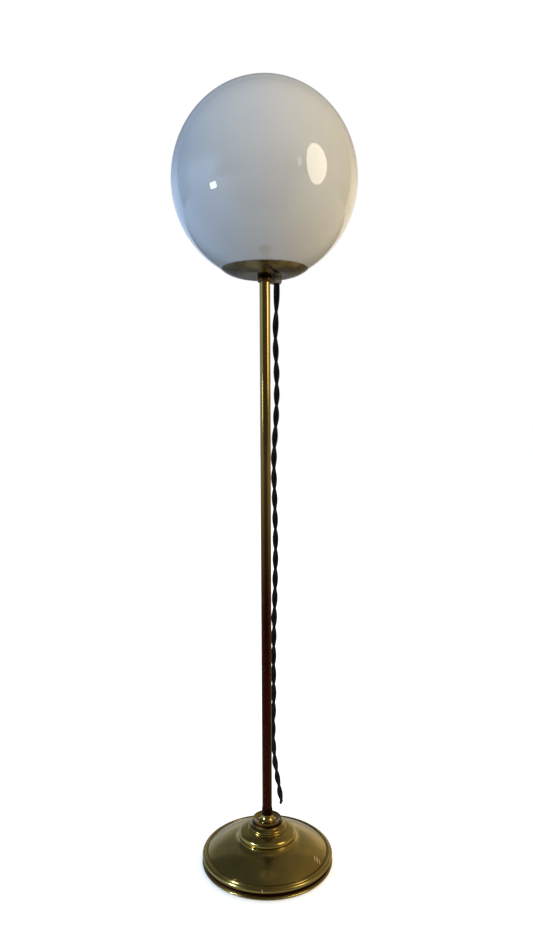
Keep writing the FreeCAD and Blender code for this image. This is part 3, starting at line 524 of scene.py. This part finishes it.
def cast_iron():
    """Sand-cast iron, painted black once."""
    g = Surface("cast_iron")
    grain = g.noise(g.place, 700, 7, 0.7)
    cloud = g.noise(g.place, 40, 5, 0.6)
    rust = g.ramp(cloud, 0.58, 0.72)
    g.set(
        Base_Color=g.mix(rust, (0.030, 0.029, 0.028), (0.11, 0.055, 0.030)),
        Metallic=0.3,
        Roughness=g.ramp(grain, 0.3, 0.7, 0.55, 0.8),
    )
    g.bump(grain, 0.5, 0.0006)
    return g.material


BRAID_CARRIERS = 16
BRAID_PICKS_PER_METRE = 950


def braid():
    """Woven cotton sleeve, from the strand's own map: round it in turns, along it in metres."""
    g = Surface("black_braid")
    split = g.tree.nodes.new("ShaderNodeSeparateXYZ")
    g.tree.links.new(g.tree.nodes.new("ShaderNodeTexCoord").outputs["UV"], split.inputs[0])
    turn = g.math("MULTIPLY", split.outputs["X"], math.tau * BRAID_CARRIERS / 2)
    along = g.math("MULTIPLY", split.outputs["Y"], math.tau * BRAID_PICKS_PER_METRE / 2)
    left = g.math("SINE", g.math("ADD", turn, along))
    right = g.math("SINE", g.math("SUBTRACT", turn, along))
    weave = g.math("MAXIMUM", left, right)
    yarn = g.noise(g.place, 2200, 4, 0.7)
    fuzz = g.noise(g.place, 260, 4, 0.6)
    raised = g.ramp(weave, 0.1, 1.0)
    colour = g.mix(raised, (0.0002, 0.0002, 0.0003), (0.0016, 0.0015, 0.0016))
    lint = g.math("MULTIPLY", g.ramp(fuzz, 0.55, 0.8), 0.4)
    colour = g.mix(lint, colour, (0.006, 0.0055, 0.005))
    g.set(
        Base_Color=colour,
        Roughness=g.ramp(yarn, 0.3, 0.7, 0.55, 0.8),
        Specular_IOR_Level=0.25,
        Sheen_Weight=0.02,
        Sheen_Roughness=0.4,
    )
    g.bump(g.math("ADD", raised, g.math("MULTIPLY", yarn, 0.35)), 0.7, 0.00035)
    return g.material


def filament():
    """The yellow coating of a long filament, with its fine beads."""
    g = Surface("filament_coating")
    beads = g.math("SINE", g.math("MULTIPLY", g.z, math.tau * 900))
    cloud = g.noise(g.place, 500, 3, 0.5)
    g.set(
        Base_Color=g.mix(g.ramp(cloud, 0.3, 0.7), (0.83, 0.52, 0.08), (0.90, 0.66, 0.18)),
        Roughness=g.ramp(beads, -1, 1, 0.35, 0.5),
        Subsurface_Weight=0.2,
        Subsurface_Radius=(0.001, 0.0008, 0.0004),
    )
    g.bump(beads, 0.3, 0.0002)
    return g.material


BRIGHT_BRASS = (0.45, 0.31, 0.085)
# Painted reflection of a dark floor: the red brown to which the stem's colour turns at the
# bottom.
PAINTED_FLOOR_REFLECTION = (0.038, 0.005, 0.0018)

# Painted shade on the base, as (low, high, softness): the groove over the rolled edge, the cove
# under the collar's rim and the top of the stem's trumpet foot, each from its piece's CAD box.
base_low, base_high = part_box("base_shell")
_, collar_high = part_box("base_collar")
foot_low, foot_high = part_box("stem_foot")
EDGE_GROOVE = (base_low.z + 0.0040, base_low.z + 0.0092, 0.0006)
COLLAR_COVE = (base_high.z + 0.0066, collar_high.z - 0.0024, 0.0012)
UPPER_FOOT = (foot_low.z + 0.0080, foot_high.z + 0.0020, 0.0006)

# Bright marks on the base, as (place, half sizes): a scrape across the band in front, and three
# short streaks side by side on the right of the dome, which are painted highlights of a window.
BAND_SCRAPE = ((-0.0076, -0.0985, 0.0140), (0.0010, 0.0040, 0.0034))
FIRST_PAINTED_GLINT = Vector((0.0715, -0.036, 0.0230))
PAINTED_GLINT_STEP = Vector((0.0036, -0.0028, 0.0))
PAINTED_GLINT_SIZE = (0.0010, 0.0078, 0.0046)
PAINTED_GLINT_COUNT = 3
BASE_NICKS_AND_GLINTS = [BAND_SCRAPE]
for number in range(PAINTED_GLINT_COUNT):
    BASE_NICKS_AND_GLINTS.append((FIRST_PAINTED_GLINT + PAINTED_GLINT_STEP * number, PAINTED_GLINT_SIZE))

base_brass = brass(
    "base_brass",
    (0.39, 0.285, 0.075),
    (0.29, 0.205, 0.052),
    shine=0.17,
    grain=0.5,
    shaded_hollows=(EDGE_GROOVE,),
    nicks_and_glints=BASE_NICKS_AND_GLINTS,
)
collar_brass = brass(
    "collar_brass",
    (0.37, 0.26, 0.065),
    (0.26, 0.175, 0.042),
    shine=0.13,
    grain=0.5,
    shaded_hollows=(COLLAR_COVE,),
)
foot_brass = brass(
    "foot_brass",
    BRIGHT_BRASS,
    (0.35, 0.25, 0.08),
    shine=0.15,
    grain=0.5,
    shaded_hollows=(UPPER_FOOT,),
)
# The dish's brass is darkened: a painted dark reflection of the room below it.
dish_brass = brass(
    "dish_brass", (0.24, 0.175, 0.072), (0.085, 0.052, 0.015), shine=0.17, grain=1.2
)
# The ball collar's brass is near black: a painted dark reflection of the floor below it.
ball_brass_painted_reflection = brass("ball_brass_painted_reflection", (0.12, 0.07, 0.026), (0.07, 0.04, 0.015), shine=0.04, grain=0.3)
# The stem's colour turns red brown towards the bottom: a painted reflection of a dark floor.
stem_brass = brass(
    "stem_brass",
    BRIGHT_BRASS,
    (0.38, 0.265, 0.07),
    shine=0.11,
    grain=0.5,
    spun=False,
    painted_reflection=(0.90, 0.36, PAINTED_FLOOR_REFLECTION),
)
plain_brass = brass("plain_brass", (0.80, 0.60, 0.28), (0.62, 0.46, 0.22))
zinc_steel = steel("zinc_steel", (0.62, 0.62, 0.60))
spring_steel = steel("spring_steel", (0.42, 0.42, 0.43), 0.24)
black_braid = braid()
FINISHES = {
    "base_pad": felt("base_felt", (0.020, 0.020, 0.019)),
    "glass_gasket": felt("gasket_felt", (0.05, 0.048, 0.045)),
    "ballast": cast_iron(),
    "cord_grommet": bush_plastic_painted_shade(),
    "holder_body": glossy("porcelain", (0.83, 0.81, 0.76), (0.78, 0.75, 0.69), 0.16, 50, 0.5),
    "bulb_insulator": glossy(
        "black_glass", (0.012, 0.011, 0.012), (0.02, 0.018, 0.02), 0.12, 90
    ),
    "bulb_tip": steel("tin_solder", (0.66, 0.66, 0.64), 0.38),
    "bulb_mount": clear_glass("mount_glass", (0.97, 0.99, 0.98)),
    "bulb_glass": clear_glass("bulb_glass"),
    "bulb_filaments": filament(),
    "core_live": glossy("core_sleeve", (0.02, 0.02, 0.02), (0.035, 0.034, 0.033), 0.5, 300),
    "stem_tube": stem_brass,
    "stem_foot": foot_brass,
    "base_collar": collar_brass,
    "base_shell": base_brass,
    "ball_collar": ball_brass_painted_reflection,
    "dish": dish_brass,
    "globe": opal_glass(),
}
FINISHES["grommet_nut"] = FINISHES["cord_grommet"]
FINISHES["core_neutral"] = FINISHES["core_live"]
STEEL_NODES = (
    "tie_rod",
    "rod_nut",
    "rod_washer",
    "top_nipple",
    "dish_washer",
    "dish_nut",
    "clip_spider",
    "holder_bracket",
    "bracket_nut",
    "holder_screws",
    "terminal_screws",
)
BRASS_NODES = (
    "stem_lower_bush",
    "stem_upper_bush",
    "clip_rivets",
    "holder_shell",
    "holder_contact",
    "terminal_blocks",
    "bulb_cap",
)
SPRING_NODES = ("globe_clip_1", "globe_clip_2", "globe_clip_3")


def finish_node(node, material):
    slots = nodes[node].data.materials
    slots.clear()
    slots.append(material)


for node_name, material in FINISHES.items():
    finish_node(node_name, material)
for node_names, material in (
    (STEEL_NODES, zinc_steel),
    (BRASS_NODES, plain_brass),
    (SPRING_NODES, spring_steel),
):
    for node_name in node_names:
        finish_node(node_name, material)


# ---------------------------------------------------------------- the twisted flex

# The route of the cord's solid: down from the dish with slight bends, and curled back at the
# end.
FLEX_ROUTE = [
    (0.0166, 0.0147, 0.8786),
    (0.0166, 0.0147, 0.8420),
    (0.0140, 0.0149, 0.7960),
    (0.0165, 0.0153, 0.7420),
    (0.0160, 0.0150, 0.6880),
    (0.0114, 0.0144, 0.6260),
    (0.0129, 0.0146, 0.5660),
    (0.0143, 0.0151, 0.5050),
    (0.0135, 0.0152, 0.4410),
    (0.0116, 0.0148, 0.3790),
    (0.0103, 0.0144, 0.3180),
    (0.0108, 0.0150, 0.2580),
    (0.0089, 0.0170, 0.1980),
    (0.0122, 0.0225, 0.1500),
    (0.0180, 0.0310, 0.1100),
    (0.0228, 0.0415, 0.0720),
]
FLEX_DIAMETER = 0.0086
STRAND_RADIUS = FLEX_DIAMETER / 4
TWIST_PITCH = 0.0596
FIRST_CROSSING = 0.0605
LOOSE_TOP = 0.039
STRAND_STEP = 0.0014
STRAND_SIDES = 14
# The braid is a little thicker than its core, so that the strands press on each other.
BRAID_SWELL = 1.03
COPPER_RADIUS = 0.0006
SLEEVE_RADIUS = 0.0015


def spline_line(name, route):
    """The smooth line of a NURBS spline that has the route's points as its control points."""
    data = bpy.data.curves.new(name, "CURVE")
    data.dimensions = "3D"
    data.resolution_u = 40
    spline = data.splines.new("NURBS")
    spline.points.add(len(route) - 1)
    for point, place in zip(spline.points, route):
        point.co = (*place, 1.0)
    spline.order_u = 3
    spline.use_endpoint_u = True
    curve = bpy.data.objects.new(name, data)
    line = [v.co.copy() for v in bpy.data.meshes.new_from_object(curve).vertices]
    bpy.data.objects.remove(curve)
    return line


def evenly(line, step):
    """Points at equal steps along a line, and the step that was used."""
    lengths = [0.0]
    for before, after in zip(line, line[1:]):
        lengths.append(lengths[-1] + (after - before).length)
    count = round(lengths[-1] / step)
    points = []
    index = 0
    for number in range(count + 1):
        wanted = lengths[-1] * number / count
        while index < len(line) - 2 and lengths[index + 1] < wanted:
            index += 1
        share = (wanted - lengths[index]) / (lengths[index + 1] - lengths[index])
        points.append(line[index].lerp(line[index + 1], share))
    return points, lengths[-1] / count


def directions(points):
    """For each point the direction of the line and a side direction that doesn't twist."""
    result = []
    side = Vector((1, 0, 0))
    last = len(points) - 1
    for index in range(len(points)):
        along = (points[min(index + 1, last)] - points[max(index - 1, 0)]).normalized()
        side = (side - along * side.dot(along)).normalized()
        result.append((along, side))
    return result


def strand_middle(points, step, half_turn):
    """The middle of one strand, wound round the cord's line, at first hardly at all."""
    middles = []
    for number, (point, (along, side)) in enumerate(zip(points, directions(points))):
        wound = number * step + LOOSE_TOP * math.exp(-number * step / LOOSE_TOP)
        turn = math.tau * (wound - FIRST_CROSSING) / TWIST_PITCH
        turn += math.pi / 2 + half_turn
        out = side * math.cos(turn) + along.cross(side) * math.sin(turn)
        middles.append(point + out * STRAND_RADIUS)
    return middles


def add_strand(mesh, uv_layer, middles, step):
    """A round braided tube with its cut end: sleeve and copper."""
    rings = []
    for middle, (along, side) in zip(middles, directions(middles)):
        other = along.cross(side)
        ring = []
        for number in range(STRAND_SIDES):
            angle = math.tau * number / STRAND_SIDES
            out = side * math.cos(angle) + other * math.sin(angle)
            ring.append(mesh.verts.new(middle + out * STRAND_RADIUS * BRAID_SWELL))
        rings.append(ring)
    for row, (ring, below) in enumerate(zip(rings, rings[1:])):
        for number in range(STRAND_SIDES):
            after = (number + 1) % STRAND_SIDES
            face = mesh.faces.new((ring[number], below[number], below[after], ring[after]))
            face.smooth = True
            right = number + 1
            corners = ((number, row), (number, row + 1), (right, row + 1), (right, row))
            for loop, (across, down) in zip(face.loops, corners):
                loop[uv_layer].uv = (across / STRAND_SIDES, down * step)
    mesh.faces.new(rings[0])
    close_cut_end(mesh, rings[-1], middles[-1])


def close_cut_end(mesh, ring, middle):
    """The bare end in three rings: the braid's edge, the core's sleeve, and the copper."""
    outer = ring
    for slot, radius in ((0, SLEEVE_RADIUS), (1, COPPER_RADIUS)):
        inner = [
            mesh.verts.new(middle + (v.co - middle).normalized() * radius) for v in outer
        ]
        for number in range(len(outer)):
            after = (number + 1) % len(outer)
            corners = (outer[number], inner[number], inner[after], outer[after])
            mesh.faces.new(corners).material_index = slot
        outer = inner
    mesh.faces.new(list(reversed(outer))).material_index = 2


def make_flex():
    """The two strands as one piece, in place of the CAD model's cord."""
    line = spline_line("flex_line", FLEX_ROUTE)
    points, step = evenly(line, STRAND_STEP)
    mesh = bmesh.new()
    uv_layer = mesh.loops.layers.uv.new("strand_map")
    for half_turn in (0.0, math.pi):
        add_strand(mesh, uv_layer, strand_middle(points, step, half_turn), step)
    data = bpy.data.meshes.new("twisted_flex")
    mesh.to_mesh(data)
    mesh.free()
    flex = bpy.data.objects.new("twisted_flex", data)
    bpy.context.scene.collection.objects.link(flex)
    copper = steel("copper_wire", (0.80, 0.42, 0.26), 0.25)
    for material in (black_braid, FINISHES["core_live"], copper):
        data.materials.append(material)
    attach(flex, "stand")
    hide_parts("flex")


make_flex()


# ---------------------------------------------------------------- floor


def floor_material():
    """A pale floor that keeps the lamp's shadow and looks white to the camera elsewhere."""
    g = Surface("floor")
    rays = g.tree.nodes.new("ShaderNodeLightPath").outputs
    distance = g.tree.nodes.new("ShaderNodeVectorMath")
    distance.operation = "LENGTH"
    g.feed(g.place, distance.inputs[0])
    aside = g.math("DIVIDE", g.math("ABSOLUTE", g.x), distance.outputs["Value"])
    far = g.ramp(aside, *FLOOR_ASIDE, *FLOOR_GLOSS_FRONT_SIDE)
    share = g.blend(g.ramp(distance.outputs["Value"], *FLOOR_REACH), FLOOR_GLOSS_NEAR, far)
    share = g.blend(rays["Is Glossy Ray"], 1.0, share)
    across = g.ramp(g.x, *FLOOR_COOL_TO_WARM_X)
    mirrored = g.mix(across, COOL_MIRRORED, WARM_MIRRORED)
    tint = g.mix(rays["Is Glossy Ray"], (1.0, 1.0, 1.0), mirrored)
    seen = g.mix(g.math("MULTIPLY", share, FLOOR_ALBEDO), (0.0, 0.0, 0.0), tint)
    cool, warm = (
        tuple(FLOOR_RETURN * FLOOR_ALBEDO * channel for channel in light)
        for light in (COOL_LIGHT, WARM_LIGHT)
    )
    returned = g.mix(across, cool, warm)
    g.set(
        Base_Color=g.mix(rays["Is Diffuse Ray"], seen, returned),
        Roughness=0.9,
        Emission_Color=tint,
        Emission_Strength=g.math(
            "MULTIPLY", g.math("MULTIPLY", g.background_seen(), share), FLOOR_GLOW
        ),
    )
    return g.material


def make_floor():
    mesh = bmesh.new()
    bmesh.ops.create_grid(mesh, x_segments=8, y_segments=8, size=FLOOR_SIZE)
    data = bpy.data.meshes.new("floor")
    mesh.to_mesh(data)
    mesh.free()
    floor = bpy.data.objects.new("floor", data)
    bpy.context.scene.collection.objects.link(floor)
    data.materials.append(floor_material())


make_floor()
